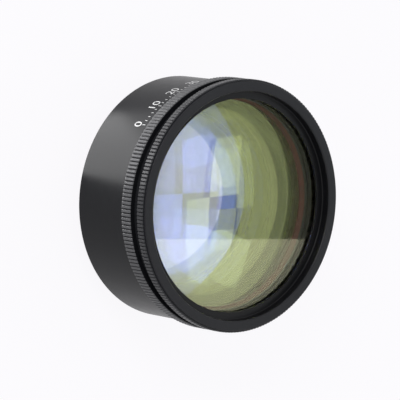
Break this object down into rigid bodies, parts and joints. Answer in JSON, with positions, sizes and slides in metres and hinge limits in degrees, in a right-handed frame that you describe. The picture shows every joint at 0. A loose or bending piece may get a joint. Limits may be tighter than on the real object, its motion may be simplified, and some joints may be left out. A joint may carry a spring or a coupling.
{
  "type": "f theta scan lens",
  "caption": "Short black anodised scan lens with a threaded rear mount, two straight-knurled bands, a recessed front window and a stack of large coated lenses behind it.",
  "frame": {"origin": "centre of the rear end face, on the optical axis", "axes": "+Z along the optical axis, from the scan head towards the protective window; X and Y are any two directions across it"},
  "size_m": [0.09, 0.09, 0.0486],
  "materials": {
    "black_anodised": "satin black anodised",
    "matt_black": "matt black anodised",
    "window_glass": "polished, coated",
    "front_glass": "polished, yellow-green coating",
    "middle_glass": "polished, blue coating",
    "entrance_glass": "polished, violet coating",
    "red_silicone": "matt",
    "black_rubber": "matt",
    "white_marking": "matt white engraving fill"
  },
  "bodies": {
    "root": {"barrel": "black_anodised", "entrance_lens": "entrance_glass", "rear_spacer": "matt_black", "middle_lens": "middle_glass", "front_spacer": "matt_black", "front_lens": "front_glass", "lens_seal_ring": "red_silicone", "lens_clamp_ring": "matt_black", "window_cell": "black_anodised", "window_gasket": "black_rubber", "protective_window": "window_glass", "window_ring": "matt_black"}
  },
  "joints": []
}
